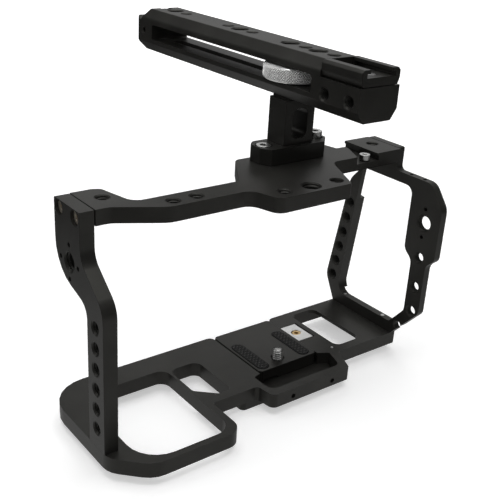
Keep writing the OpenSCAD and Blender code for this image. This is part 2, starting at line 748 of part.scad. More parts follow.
module side_frame() {
    y_b = block_d - neck_y;
    wide_b = wide_w - wide_front;
    narrow_b = narrow_w - narrow_front;
    outer_b = back_foot - back_lean;
    post_low = back_low_z - 6;
    color(black) difference() {
        union() {
            frame_sheet(frame_x, frame_t);
            // the back post is thicker, on its outside
            intersection() {
                frame_sheet(frame_x + over, frame_t + post_more - over);
                translate([frame_x, outer_b - back_w - 4, post_low])
                    cube([wide, wide, relief_low + deck_z - post_low]);
            }
        }
        side_sheet([[back_foot - back_w - 1.6, low_in, 8], [outer_b - back_w, rail_in, 3],
                    [wide_b, rail_in, 5], [wide_b, wide_low, 6], [narrow_b, narrow_top + 4, 6],
                    [narrow_b, low_in + 12.5, 5], [narrow_b + 10.5, low_in, 2]],
                   frame_x - over, frame_t + post_more + 2 * over);
        // relief on the outside of the back post
        side_sheet([[y_b - 4.2, rail_in - 1, 3], [y_b - 4.2, relief_low + deck_z - 5, 3],
                    [back_foot, relief_low + deck_z - 2, 3], [back_foot, rail_in - 1, 3]],
                   frame_x + relief_left, frame_t + post_more);
        hole_x(post_hole_y, frame_big_z, frame_x, frame_t, big_thread_d);
        for (s = [-1, 1])
            translate([frame_x - over, post_hole_y, frame_big_z + s * locate_r]) rotate([0, 90, 0])
                cylinder(d = locate_d, h = locate_depth + over, $fn = 24);
        hole_x(post_hole_y, frame_big_z - post_hole_drop, frame_x, frame_t, thread_d);
        for (z = narrow_hole_zs) hole_x(narrow_hole_y + 0.4, base_z + z, frame_x, frame_t, thread_d);
        hole_x(foot_hole.x, base_z + foot_hole.y, frame_x, frame_t, foot_hole.z);
        for (i = [0:back_holes - 1])
            hole_x(back_foot - back_w / 2 + 0.4
                       - back_lean * (i * back_pitch + 8) / (back_top_z - back_low_z + 8),
                   low_in + 10.6 + i * back_pitch, frame_x, frame_t + post_more, thread_d);
        for (y = rail_hole_ys)
            translate([x_right - frame_t / 2, y, rail_top - rail_h + 1.2])
                cylinder(d = rail_hole_d, h = rail_h, $fn = 24);
        for (s = [-1, 1])
            translate([x_right, frame_mid_y + s * frame_span / 2, arm_screw_z]) rotate([0, -90, 0]) {
                translate([0, 0, -over]) cylinder(d1 = m4_d * 2 + 2 * over, d2 = m4_d, h = m4_d / 2 + over);
                cylinder(d = m4_d + 2 * fit_gap, h = frame_t + over);
            }
        for (y = frame_foot_ys)
            translate([frame_screw_x, y, frame_low - over])
                cylinder(d = foot_d + 2 * fit_gap, h = low_rail_h + 2 * over);
    }
}

// countersunk screws through the side frame into the end block
module frame_top_screws() {
    gap = 0.1;
    color(steel) for (s = [-1, 1])
        translate([x_right - gap, frame_mid_y + s * frame_span / 2, arm_screw_z]) rotate([0, -90, 0])
            difference() {
                union() {
                    cylinder(d1 = 2 * (m4_d - gap - fit_gap), d2 = m4_d, h = m4_d / 2 - gap);
                    cylinder(d = m4_d, h = frame_t + top_t);
                }
                translate([0, 0, -over]) cylinder(d = 2.5 / cos(30), h = 1.8 + over, $fn = 6);
            }
}

module frame_foot_screws() {
    color(steel) for (y = frame_foot_ys)
        foot_screw(frame_screw_x, y, base_t - foot_seat + low_rail_h + 0.3);
}

module lock_screw() {
    color(silver) translate([lock_x, lock_y, pocket_z + 0.6])
        cap_screw(lock_d, 6.2, 3, top_t - pocket_h, 2.5);
}

module handle_post() {
    half = flange_pitch / 2;
    col_x = post_x - post_w / 2;
    col_y = post_y - post_d / 2;
    y1 = post_y - flange_d / 2 - 0.6;
    y2 = y1 + flange_d;
    x1 = post_x - half - 5.6;
    x2 = post_x + half + 6;
    win_half = post_win_w / 2;
    win_r = 3.6;
    color(black) difference() {
        union() {
            plate([[x1, y1 + 5.8, 3], [x1 + 3.5, y1, 1], [x2 - 6.8, y1, 1], [x2, y1 + 7, 4],
                   [x2, y2 - 6, 4], [x2 - 6.8, y2, 3], [x1 + 4.5, y2, 3], [x1, y2 - 4, 4]],
                  top_z, flange_t);
            translate([col_x, col_y, top_z]) cube([post_w, post_d, post_h - seat_h]);
            translate([col_x + 1.9, col_y + 0.4, top_z]) cube([post_w - 3.8, post_d - 0.8, post_h]);
        }
        // window through the column, and its lightening pocket below the stud
        translate([0, col_y - over, 0]) rotate([90, 0, 0]) mirror([0, 0, 1])
            linear_extrude(post_d + 2 * over)
                polygon(rounded([[post_x - win_half, win_z, win_r], [post_x + win_half, win_z, win_r],
                                 [post_x + win_half, win_z + post_win_h, win_r],
                                 [post_x - win_half, win_z + post_win_h, win_r]]));
        translate([post_x, post_y, stud_z - over]) cylinder(d = stud_d + 2 * fit_gap, h = post_h);
        translate([post_x, post_y, stud_z - win_half]) cylinder(d = stud_head_d + 1, h = win_half);
        for (s = [-1, 1])
            translate([post_x + s * half, post_y, top_z]) {
                translate([0, 0, -over]) cylinder(d = m5_d + 2 * fit_gap, h = flange_t + 2 * over);
                translate([0, 0, seat_under(s)]) cylinder(d = m5_bore, h = flange_t);
            }
    }
}

// height of a flange screw's seat above the top plate: deep on the left, shallow on the right
function seat_under(s) = flange_t - (s < 0 ? m5_head_h - 0.2 : 1.4);

module post_screws() {
    color(silver) for (s = [-1, 1])
        translate([post_x + s * flange_pitch / 2, post_y, top_z + seat_under(s)])
            cap_screw(m5_d, m5_head, m5_head_h, seat_under(s) + top_t - 1, hex5);
}

module clamp_stud() {
    head_t = 1.6;
    stud_l = wheel_z + wheel_t - stud_z - 1.2;
    color(steel) translate([post_x, post_y, stud_z]) {
        translate([0, 0, -head_t / 2]) cylinder(d = stud_d, h = stud_l + head_t / 2);
        translate([0, 0, -head_t]) cylinder(d = stud_head_d, h = head_t);
    }
}

module wheel_washer() {
    color(steel) translate([post_x, post_y, floor_z]) difference() {
        cylinder(d = 18, h = washer_t);
        translate([0, 0, -over]) cylinder(d = stud_d + 0.4, h = 3);
    }
}

module thumbwheel() {
    edge = 0.9;
    r = wheel_d / 2;
    color(silver) translate([post_x, post_y, wheel_z]) rotate_extrude($fn = 96)
        polygon([[stud_d / 2 + fit_gap, 0.05], [r - edge, 0.05], [r, edge], [r, wheel_t - edge],
                 [r - edge, wheel_t], [stud_d / 2 + fit_gap, wheel_t]]);
}

// the handle's cross section, seen from the front
module handle_section() {
    hw = handle_w / 2;
    polygon(rounded([[post_x - hw, seat_z + 5.6, 1], [post_x - hw + 3.9, seat_z, 1],
                     [post_x + hw - 3.9, seat_z, 1], [post_x + hw, seat_z + 5.6, 1],
                     [post_x + hw, handle_top - 5.6, 5], [post_x + hw - 3.1, handle_top, 1],
                     [post_x - hw + 3.1, handle_top, 1], [post_x - hw, handle_top - 5.6, 5]]));
}

module handle() {
    hw = handle_w / 2;
    color(black) difference() {
        translate([0, handle_y2, 0]) rotate([90, 0, 0]) linear_extrude(handle_l) handle_section();
        // bevels at the back end
        translate([0, handle_y2, handle_top]) rotate([45, 0, 0])
            translate([post_x - wide / 2, -2 * end_bevel, -end_bevel])
                cube([wide, 4 * end_bevel, 3 * end_bevel]);
        translate([0, handle_y2, seat_z]) rotate([45, 0, 0])
            translate([post_x - wide / 2, -low_bevel, -low_bevel])
                cube([wide, 2 * low_bevel, 2 * low_bevel]);
        // side slot, and the groove in its floor for the stud
        side_slot();
        window(post_x - groove_w / 2, post_y - travel_back - stud_d / 2 - 0.8, post_x + groove_w / 2,
               slot_y2 - 8, groove_w / 2 - 0.02, seat_z - over, slot_floor + 2 * over);
        // step for the cold shoe
        translate([post_x - wide / 2, handle_y1 - over, shoe_z])
            cube([wide, shoe_l + over, shoe_h + over]);
        // threaded holes along the top
        for (p = top_holes)
            hole_z(post_x, handle_y1 + p[0], floor_z + slot_h - over,
                   handle_top - floor_z - slot_h + over, p[1]);
        for (p = nose_holes)
            hole_z(post_x, handle_y1 + p[0], handle_top - blind_depth, blind_depth, p[1]);
        // threaded holes in the sides
        for (y = side_hole_ys)
            hole_x(handle_y1 + y, seat_z + side_hole_z, post_x - hw, handle_w, thread_d);
        hole_x(handle_y2 - tail_hole.x, seat_z + tail_hole.y, post_x - hw, handle_w, tail_hole.z);
        for (y = shoe_screw_ys)
            translate([post_x, handle_y1 + y, shoe_z - 9]) cylinder(d = m3_d + 2 * fit_gap, h = 9 + over);
    }
}

module side_slot() {
    translate([post_x - wide / 2, 0, 0]) rotate([90, 0, 90]) linear_extrude(wide)
        polygon(rounded([[slot_y1, floor_z, 1.2], [slot_y2, floor_z, 1.2],
                         [slot_y2, floor_z + slot_h, 1.2], [slot_y1, floor_z + slot_h, 2.5]]));
}

// the shoe's cross section: upright sides drawn in at the foot, above a narrow joint line
module shoe_section() {
    hw = handle_w / 2 - 0.5;
    polygon(rounded([[post_x - hw + 2, shoe_z, 0], [post_x + hw - 2, shoe_z, 0],
                     [post_x + hw - 2, shoe_z + shoe_joint, 0], [post_x + hw - 1.2, shoe_z + shoe_joint, 0],
                     [post_x + hw, shoe_z + 3.6, 4], [post_x + hw, handle_top - 1.4, 1],
                     [post_x + hw - 1.4, handle_top, 0.5], [post_x - hw + 1.4, handle_top, 0.5],
                     [post_x - hw, handle_top - 1.4, 1], [post_x - hw, shoe_z + 3.6, 4],
                     [post_x - hw + 1.2, shoe_z + shoe_joint, 0],
                     [post_x - hw + 2, shoe_z + shoe_joint, 0]]));
}

module cold_shoe() {
    color(black) difference() {
        translate([0, shoe_y2, 0]) rotate([90, 0, 0]) linear_extrude(shoe_l) shoe_section();
        translate([post_x - wide / 2, handle_y1 - over, shoe_z - over])
            cube([wide, 0.7 + over, shoe_joint + over]);
        translate([post_x - shoe_slot_w / 2, handle_y1 - over, shoe_floor])
            cube([shoe_slot_w, shoe_l - 2.4 + over, shoe_slot_h]);
        translate([post_x - shoe_mouth_w / 2, handle_y1 - over, shoe_floor])
            cube([shoe_mouth_w, shoe_l - 1 + over, handle_h]);
        for (y = shoe_screw_ys)
            translate([post_x, handle_y1 + y, 0]) {
                translate([0, 0, shoe_z - over]) cylinder(d = m3_d + 2 * fit_gap, h = shoe_h);
                translate([0, 0, shoe_floor - 1.6]) cylinder(d1 = m3_d, d2 = m3_d * 2 + 0.4, h = 1.61);
            }
    }
}

module shoe_screws() {
    color(steel) for (y = shoe_screw_ys)
        translate([post_x, handle_y1 + y, shoe_floor - 0.1]) rotate([180, 0, 0]) difference() {
            union() {
                cylinder(d1 = m3_d * 2, d2 = m3_d, h = m3_d / 2);
                cylinder(d = m3_d, h = 8.4);
            }
            translate([0, 0, -over]) cylinder(d = 2 / cos(30), h = 1.4 + over, $fn = 6);
        }
}

base_plate();
quick_plate();
rubber_strips();
camera_screw();
camera_screw_ring();
clamp_jaw();
clamp_screw();
stop_pin();
side_arm();
arm_top_screws();
arm_foot_screws();
top_plate();
side_frame();
frame_top_screws();
frame_foot_screws();
lock_screw();
handle_post();
post_screws();
clamp_stud();
wheel_washer();
thumbwheel();
handle();
cold_shoe();
shoe_screws();
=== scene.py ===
import json
import math

import bmesh
import bpy
import numpy as np
from mathutils import Matrix, Vector


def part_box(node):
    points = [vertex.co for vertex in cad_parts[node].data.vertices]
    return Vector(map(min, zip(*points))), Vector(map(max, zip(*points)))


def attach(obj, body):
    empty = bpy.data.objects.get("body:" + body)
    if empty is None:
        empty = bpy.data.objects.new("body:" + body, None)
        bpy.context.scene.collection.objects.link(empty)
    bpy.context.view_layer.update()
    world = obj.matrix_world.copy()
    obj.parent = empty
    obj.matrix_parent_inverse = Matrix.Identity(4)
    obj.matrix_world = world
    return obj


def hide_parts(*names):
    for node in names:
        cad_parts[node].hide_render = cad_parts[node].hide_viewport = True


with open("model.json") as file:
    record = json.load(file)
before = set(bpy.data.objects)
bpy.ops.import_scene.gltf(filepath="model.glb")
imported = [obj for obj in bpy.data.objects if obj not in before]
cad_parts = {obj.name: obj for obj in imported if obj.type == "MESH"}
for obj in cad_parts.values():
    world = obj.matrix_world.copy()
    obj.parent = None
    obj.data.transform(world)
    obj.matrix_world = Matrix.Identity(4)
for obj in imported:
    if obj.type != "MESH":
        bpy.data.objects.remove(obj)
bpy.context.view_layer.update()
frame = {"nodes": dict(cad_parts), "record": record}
bodyOf = {node: body for body, nodes in frame["record"]["behaviour"]["bodies"].items() for node in nodes}
mm = 0.001

# the camera was fitted to straight edges of the cage in the photograph
viewSpec = {
    "place": (-284.9, -323.2, 270.5),   # millimetres
    "azimuth": -38.73,
    "elevation": 23.77,
    "roll": 3.60,
    "lens": 60.89,
    "sensor": 36.0,
    "near": 0.01,                       # metres
}


def aimCamera(spec):
    azimuth = math.radians(spec["azimuth"])
    elevation = math.radians(spec["elevation"])
    roll = math.radians(spec["roll"])
    back = Vector((math.sin(azimuth) * math.cos(elevation),
                   -math.cos(azimuth) * math.cos(elevation),
                   math.sin(elevation)))
    right = (-back).cross(Vector((0, 0, 1))).normalized()
    up = right.cross(-back)
    across = right * math.cos(roll) + up * math.sin(roll)
    upright = up * math.cos(roll) - right * math.sin(roll)
    data = bpy.data.cameras.new("photoCamera")
    data.lens = spec["lens"]
    data.sensor_width = spec["sensor"]
    data.clip_start = spec["near"]
    camera = bpy.data.objects.new("photoCamera", data)
    turn = Matrix((across, upright, back)).transposed().to_4x4()
    camera.matrix_world = Matrix.Translation(Vector(spec["place"]) * mm) @ turn
    bpy.context.scene.collection.objects.link(camera)
    bpy.context.scene.camera = camera


aimCamera(viewSpec)
print("camera placed")


# every finish starts here; patterns sit on the piece's own coordinates
def startMaterial(name):
    material = bpy.data.materials.new(name)
    material.use_nodes = True
    tree = material.node_tree
    shader = tree.nodes["Principled BSDF"]
    place = tree.nodes.new("ShaderNodeTexCoord").outputs["Object"]
    return material, tree, shader, place


def noise(tree, place, size, detail=2.0, stretch=None):
    if stretch:
        mapping = tree.nodes.new("ShaderNodeMapping")
        mapping.inputs["Scale"].default_value = stretch
        tree.links.new(place, mapping.inputs["Vector"])
        place = mapping.outputs["Vector"]
    node = tree.nodes.new("ShaderNodeTexNoise")
    node.inputs["Scale"].default_value = 1.0 / size
    node.inputs["Detail"].default_value = detail
    tree.links.new(place, node.inputs["Vector"])
    return node.outputs["Fac"]


# each end of the blend is a colour or the output of another node
def blendColour(tree, factor, low, high):
    node = tree.nodes.new("ShaderNodeMix")
    node.data_type = "RGBA"
    for socket, end in ((node.inputs[6], low), (node.inputs[7], high)):
        if isinstance(end, tuple):
            socket.default_value = (*end, 1)
        else:
            tree.links.new(end, socket)
    tree.links.new(factor, node.inputs[0])
    return node.outputs[2]


def spread(tree, factor, low, high, inLow=0.3, inHigh=0.7):
    node = tree.nodes.new("ShaderNodeMapRange")
    node.inputs["From Min"].default_value = inLow
    node.inputs["From Max"].default_value = inHigh
    node.inputs["To Min"].default_value = low
    node.inputs["To Max"].default_value = high
    tree.links.new(factor, node.inputs["Value"])
    return node.outputs["Result"]


# how deep a point lies in a thread, a knurl or between pimples, from 0 on the crest to 1; 0 where a piece
# has none; the finishes paint shade into the deep parts
def groove(tree, low, high):
    node = tree.nodes.new("ShaderNodeAttribute")
    node.attribute_name = "groove"
    return spread(tree, node.outputs["Fac"], 0, 1, low, high)


def bump(tree, shader, height, depth, strength=1.0):
    node = tree.nodes.new("ShaderNodeBump")
    node.inputs["Distance"].default_value = depth
    node.inputs["Strength"].default_value = strength
    tree.links.new(height, node.inputs["Height"])
    tree.links.new(node.outputs["Normal"], shader.inputs["Normal"])


# "face" is the flat black; "edge" is painted shade, a darker and less glossy colour on the broken edges
# standing in for the dark lines where edges and seams fall into shade; "thread" lines the tapped holes,
# darker than the face as painted shade inside the holes
anodisedSpec = {
    "dark": (0.0118, 0.0115, 0.0104),
    "light": {"face": (0.0205, 0.02, 0.0181), "edge": (0.0055, 0.0055, 0.0050),
              "thread": (0.011, 0.011, 0.010)},
    "gloss": {"face": 0.32, "edge": 0.16, "thread": 0.30},
    "tint": (1.0, 0.99, 0.92),
    "grain": 0.16 * mm,
    "cloud": 22 * mm,
    "roughness": (0.36, 0.47),
    "relief": (0.012 * mm, 0.5),     # depth and strength of the grain
    # painted shade: the thread roots darken between these depths
    "valley": (0.3, 0.7),            # depths between which a thread turns dark
}


def anodised(name, part):
    material, tree, shader, place = startMaterial(name)
    dark, light = anodisedSpec["dark"], anodisedSpec["light"][part]
    cloud = noise(tree, place, anodisedSpec["cloud"], 3)
    grain = noise(tree, place, anodisedSpec["grain"], 1)
    colour = blendColour(tree, spread(tree, cloud, 0, 1), dark, light)
    # painted shade in the thread roots
    if part == "thread":
        colour = blendColour(tree, groove(tree, *anodisedSpec["valley"]), colour, dark)
    tree.links.new(colour, shader.inputs["Base Color"])
    tree.links.new(spread(tree, grain, *anodisedSpec["roughness"]), shader.inputs["Roughness"])
    bump(tree, shader, grain, *anodisedSpec["relief"])
    shader.inputs["Specular IOR Level"].default_value = anodisedSpec["gloss"][part]
    shader.inputs["Specular Tint"].default_value = (*anodisedSpec["tint"], 1)
    return material


metalSpecs = {
    "brightSteel": {"dark": (0.48, 0.48, 0.47), "light": (0.66, 0.66, 0.65), "metallic": 1.0,
                    "roughness": (0.18, 0.32), "grain": 0.5 * mm, "stretch": (1, 1, 6)},
    "plainSteel": {"dark": (0.40, 0.40, 0.40), "light": (0.58, 0.58, 0.57), "metallic": 1.0,
                   "roughness": (0.24, 0.38), "grain": 0.5 * mm, "stretch": (1, 1, 5)},
    "sunkSteel": {"dark": (0.40, 0.36, 0.30), "light": (0.70, 0.64, 0.54), "metallic": 0.8,
                  "roughness": (0.26, 0.40), "grain": 0.5 * mm, "stretch": (1, 1, 5)},
    "threadSteel": {"dark": (0.36, 0.36, 0.35), "light": (0.48, 0.48, 0.47), "metallic": 1.0,
                    "roughness": (0.24, 0.34), "grain": 0.5 * mm, "stretch": (1, 1, 6)},
    "bareAluminium": {"dark": (0.76, 0.76, 0.76), "light": (0.86, 0.86, 0.85), "metallic": 0.72,
                      "roughness": (0.38, 0.50), "grain": 0.35 * mm, "stretch": (1, 9, 1)},
    "wheelMetal": {"dark": (0.86, 0.86, 0.85), "light": (0.95, 0.95, 0.94), "metallic": 0.35,
                   "roughness": (0.14, 0.24), "grain": 0.4 * mm, "stretch": (1, 1, 7)},
    "brassMetal": {"dark": (0.55, 0.37, 0.16), "light": (0.84, 0.62, 0.32), "metallic": 0.9,
                   "roughness": (0.24, 0.38), "grain": 0.6 * mm, "stretch": (1, 1, 1)},
}
# what all bare metals share: slow random tone, fine streaks, and painted shade in the bottoms of threads
# and knurls
metalShared = {"cloud": 4 * mm, "relief": (0.01 * mm, 0.4), "valley": (0.76, 1.0),
               # painted shade: colour of the deepest parts of threads and knurls
               "valleyShade": (0.03, 0.03, 0.03)}


def metal(name):
    spec = metalSpecs[name]
    material, tree, shader, place = startMaterial(name)
    shader.inputs["Metallic"].default_value = spec["metallic"]
    streak = noise(tree, place, spec["grain"], 2, spec["stretch"])
    cloud = noise(tree, place, metalShared["cloud"], 2)
    colour = blendColour(tree, spread(tree, cloud, 0, 1), spec["dark"], spec["light"])
    # painted shade in the bottoms of threads and knurls
    colour = blendColour(tree, groove(tree, *metalShared["valley"]), colour, metalShared["valleyShade"])
    tree.links.new(colour, shader.inputs["Base Color"])
    tree.links.new(spread(tree, streak, *spec["roughness"]), shader.inputs["Roughness"])
    bump(tree, shader, streak, *metalShared["relief"])
    return material


rubberSpec = {
    "dark": (0.040, 0.040, 0.038),
    "light": (0.066, 0.066, 0.063),
    # painted shade: the hollows between the pimples darken between these depths to the colour below
    "valley": (0.25, 0.75),
    "valleyShade": (0.004, 0.004, 0.004),
    "dust": 2.5 * mm,
    "grain": 0.12 * mm,
    "roughness": (0.62, 0.82),
    "relief": (0.03 * mm, 0.7),
    "gloss": 0.35,
}


def gripRubber():
    material, tree, shader, place = startMaterial("gripRubber")
    dust = noise(tree, place, rubberSpec["dust"], 4)
    grain = noise(tree, place, rubberSpec["grain"], 2)
    colour = blendColour(tree, spread(tree, dust, 0, 1), rubberSpec["dark"], rubberSpec["light"])
    # painted shade in the hollows between pimples
    colour = blendColour(tree, groove(tree, *rubberSpec["valley"]), colour, rubberSpec["valleyShade"])
    tree.links.new(colour, shader.inputs["Base Color"])
    tree.links.new(spread(tree, grain, *rubberSpec["roughness"]), shader.inputs["Roughness"])
    bump(tree, shader, grain, *rubberSpec["relief"])
    shader.inputs["Specular IOR Level"].default_value = rubberSpec["gloss"]
    return material


finishes = {name: metal(name) for name in metalSpecs}
finishes["anodised"] = anodised("blackAnodised", "face")
# painted shade: the darker, less glossy finish for broken edges and seams
finishes["anodisedEdgeShade"] = anodised("blackAnodisedEdgeShade", "edge")
# the hole linings: darker than the face as painted shade inside the holes, with painted shade in the
# thread roots
finishes["anodisedThread"] = anodised("blackAnodisedThread", "thread")
finishes["rubber"] = gripRubber()
print("finishes made:", len(finishes))


# a new mesh, bound to its body, with its finish as its material, and the nodes it stands for hidden
def placePiece(name, points, faces, finish, body, nodes=(), smooth=True, grooves=None):
    mesh = bpy.data.meshes.new(name)
    mesh.from_pydata(np.asarray(points).tolist(), [], [tuple(face) for face in faces])
    mesh.polygons.foreach_set("use_smooth", np.full(len(mesh.polygons), smooth))
    if grooves is not None:
        depths = mesh.attributes.new("groove", "FLOAT", "POINT")
        depths.data.foreach_set("value", np.asarray(grooves, float).ravel())
    mesh.materials.append(finishes[finish])
    mesh.update()
    piece = bpy.data.objects.new(name, mesh)
    bpy.context.scene.collection.objects.link(piece)
    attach(piece, body)
    if nodes:
        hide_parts(*nodes)
    return piece


# doubles merged, poles drawn as tiny rings closed, and all faces turned outwards
def mendMesh(piece, merge=0.0, poles=False):
    work = bmesh.new()
    work.from_mesh(piece.data)
    if merge:
        bmesh.ops.remove_doubles(work, verts=work.verts, dist=merge)
    if poles:
        bmesh.ops.holes_fill(work, edges=work.edges, sides=0)
    bmesh.ops.recalc_face_normals(work, faces=work.faces)
    work.to_mesh(piece.data)
    work.free()


# several closed surfaces, each given as points, faces and grooves, put together as one
def joined(parts):
    firsts = np.cumsum([0] + [len(points) for points, faces, grooves in parts])
    return (np.vstack([part[0] for part in parts]),
            np.vstack([part[1] + first for part, first in zip(parts, firsts)]),
            np.concatenate([part[2] for part in parts]))


# quads of a grid of points, where both directions may close on themselves
def gridFaces(rows, columns, closeRows, closeColumns):
    i = np.arange(rows if closeRows else rows - 1)
    j = np.arange(columns if closeColumns else columns - 1)
    i, j = np.meshgrid(i, j, indexing="ij")
    i, j = i.ravel(), j.ravel()
    nextI, nextJ = (i + 1) % rows, (j + 1) % columns
    return np.stack([i * columns + j, nextI * columns + j,
                     nextI * columns + nextJ, i * columns + nextJ], 1)


# two unit vectors square to an axis
def sideAxes(axis):
    axis = np.asarray(axis, float)
    helper = np.array([0, 0, 1.0]) if abs(axis[2]) < 0.9 else np.array([1.0, 0, 0])
    first = np.cross(helper, axis)
    first /= np.linalg.norm(first)
    return first, np.cross(axis, first)


# a triangle wave from 0 to 1, once per unit
def ridge(phase):
    return 1 - np.abs(2 * (phase - np.floor(phase)) - 1)


# the clipped triangle wave of a thread's profile, its run-out in pitches, and the lining of a hole
threadSpec = {"steep": 1.5, "root": 0.25, "runout": 0.5}
sleeveSpec = {"turns": 36, "rowsPerTurn": 10, "rows": 6, "play": 0.01, "wall": 0.12}


# a thread's height at turn and height along the axis: flat crest and root, with runout at both ends
def threadHeight(angle, along, pitch, low, high, runout):
    wave = ridge(along / pitch - angle / (2 * np.pi)) * threadSpec["steep"] - threadSpec["root"]
    fade = np.clip(np.minimum(along - low, high - along) / runout, 0, 1)
    return np.clip(wave, 0, 1) * fade


# a sleeve lining a tapped hole: its wall runs up inside with the thread and down outside, all closed
def threadSleeve(mouth, axis, radius, length, pitch, depth):
    turns = sleeveSpec["turns"]
    rows = max(sleeveSpec["rows"], int(length / pitch * sleeveSpec["rowsPerTurn"]))
    along = np.linspace(0, length, rows)
    angle = np.linspace(0, 2 * np.pi, turns, endpoint=False)
    alongGrid, angleGrid = np.meshgrid(along, angle, indexing="ij")
    wave = threadHeight(angleGrid, alongGrid, pitch, 0, length, threadSpec["runout"] * pitch)
    inner = radius - sleeveSpec["play"] - depth * wave
    outer = np.full((2, turns), radius + sleeveSpec["wall"])
    radii = np.vstack([inner, outer])
    alongAll = np.vstack([alongGrid, np.full((1, turns), length), np.zeros((1, turns))])
    angleAll = np.vstack([angleGrid, angle[None], angle[None]])
    first, second = sideAxes(axis)
    ring = np.cos(angleAll)[..., None] * first + np.sin(angleAll)[..., None] * second
    deep = np.asarray(axis, float) * alongAll[..., None]
    points = np.asarray(mouth, float) - deep + radii[..., None] * ring
    # depth into the thread, which the finish darkens as painted shade
    grooves = np.vstack([1 - wave, np.zeros((2, turns))])
    return points.reshape(-1, 3), gridFaces(rows + 2, turns, True, True), grooves.ravel()


def sleevePiece(name, holes, body):
    points, faces, grooves = joined([threadSleeve(**hole) for hole in holes])
    piece = placePiece(name, points * mm, faces, "anodisedThread", body, smooth=False, grooves=grooves)
    mendMesh(piece)


# widths of the broken edges, and how the solids' loose triangles are merged first
edgeSpec = {
    "width": {"black": 0.28 * mm, "frame": 0.8 * mm, "plate": 0.42 * mm, "screw": 0.12 * mm,
              "brightScrew": 0.25 * mm, "clamp": 0.2 * mm},
    "steps": 2,
    "angle": 34,
    "merge": 0.002 * mm,
    "flat": 0.6,        # degrees
    "weight": 50,
}
# end, reach and step in millimetres of faces moved along X: a fine joint at both ends of the top
# plate, and screw heads sunk in their bores
moveSpec = {"top_plate": (("low", 0.02, 0.55), ("high", 0.02, -0.55)),
            "arm_top_screws": (("low", 3.0, 1.3),)}


def moveFaces(points, moves):
    ends = {"low": points[:, 0].min(), "high": points[:, 0].max()}
    moved = points.copy()
    for end, reach, step in moves:
        near = np.abs(points[:, 0] - ends[end]) < reach * mm
        moved[near, 0] += step * mm
    return moved


# a copy of a solid with its double points merged and its sharp edges broken
def breakEdges(node, finish, width, edgeFinish=None):
    source = frame["nodes"][node]
    name = node + "_dressed"
    work = bmesh.new()
    work.from_mesh(source.data)
    bmesh.ops.remove_doubles(work, verts=work.verts, dist=edgeSpec["merge"])
    bmesh.ops.dissolve_limit(work, angle_limit=math.radians(edgeSpec["flat"]), verts=work.verts,
                             edges=work.edges, delimit={"NORMAL"})
    mesh = bpy.data.meshes.new(name)
    work.to_mesh(mesh)
    work.free()
    if node in moveSpec:
        points = np.empty(3 * len(mesh.vertices))
        mesh.vertices.foreach_get("co", points)
        mesh.vertices.foreach_set("co", moveFaces(points.reshape(-1, 3), moveSpec[node]).ravel())
    mesh.polygons.foreach_set("use_smooth", np.full(len(mesh.polygons), True))
    mesh.materials.append(finishes[finish])
    if edgeFinish:
        mesh.materials.append(finishes[edgeFinish])
    piece = bpy.data.objects.new(name, mesh)
    bpy.context.scene.collection.objects.link(piece)
    bevel = piece.modifiers.new("brokenEdges", "BEVEL")
    bevel.width = edgeSpec["width"][width]
    bevel.segments = edgeSpec["steps"]
    bevel.limit_method = "ANGLE"
    bevel.angle_limit = math.radians(edgeSpec["angle"])
    bevel.face_strength_mode = "FSTR_ALL"
    bevel.miter_outer = "MITER_ARC"
    # the bevel faces take the second finish, where given: painted shade along edges and seams
    if edgeFinish:
        bevel.material = 1      # its place among the piece's materials
    weights = piece.modifiers.new("flatFaces", "WEIGHTED_NORMAL")
    weights.mode = "FACE_AREA"
    weights.weight = edgeSpec["weight"]
    weights.use_face_influence = True
    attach(piece, bodyOf[node])
    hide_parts(node)


# the black pieces' broken edges get painted shade
for width, nodes in (("black", ("top_plate", "handle_post", "handle", "cold_shoe")),
                     ("plate", ("base_plate", "quick_plate")),
                     ("frame", ("side_arm", "side_frame"))):
    for node in nodes:
        breakEdges(node, "anodised", width, "anodisedEdgeShade")
for node in ("arm_foot_screws", "frame_top_screws", "frame_foot_screws", "shoe_screws", "wheel_washer",
             "stop_pin", "camera_screw_ring", "clamp_stud"):
    breakEdges(node, "plainSteel", "screw")
breakEdges("arm_top_screws", "sunkSteel", "screw")
for node in ("post_screws", "lock_screw"):
    breakEdges(node, "brightSteel", "brightScrew")
breakEdges("clamp_jaw", "bareAluminium", "clamp")
breakEdges("clamp_screw", "brassMetal", "clamp")
print("edges broken")


# the two threads of the tapped holes, in millimetres, and the countersink of every hole
quarter = {"radius": 3.175, "pitch": 1.27, "depth": 0.62}
threeEighths = {"radius": 4.765, "pitch": 1.59, "depth": 0.80}
sink = 0.6


def hole(x, y, z, axis, length, size):
    return {"mouth": (x, y, z), "axis": axis, "length": length, **size}


# lowest (0) or highest (1) corner of a node's box, in millimetres
def boxEnd(node, side):
    return np.array(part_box(node)[side]) / mm


armLow, armHigh = boxEnd("side_arm", 0), boxEnd("side_arm", 1)
topLow, topHigh = boxEnd("top_plate", 0), boxEnd("top_plate", 1)
frameLow, frameHigh = boxEnd("side_frame", 0), boxEnd("side_frame", 1)
gripLow, gripHigh = boxEnd("handle", 0), boxEnd("handle", 1)
outside, right, up, down = (-1, 0, 0), (1, 0, 0), (0, 0, 1), (0, 0, -1)

armHoles = {"row": -18.6, "first": 23.9, "spacing": 11.0, "count": 6, "anchor": (5.6, 102.4)}
armDepth = armHigh[0] - armLow[0] - 2 * sink
sleevePiece("arm_threads",
            [hole(armLow[0] + sink, armHoles["row"], armHoles["first"] + i * armHoles["spacing"], outside,
                  armDepth, quarter) for i in range(armHoles["count"])]
            + [hole(armLow[0] + sink, *armHoles["anchor"], outside, armDepth, threeEighths)], "cage")

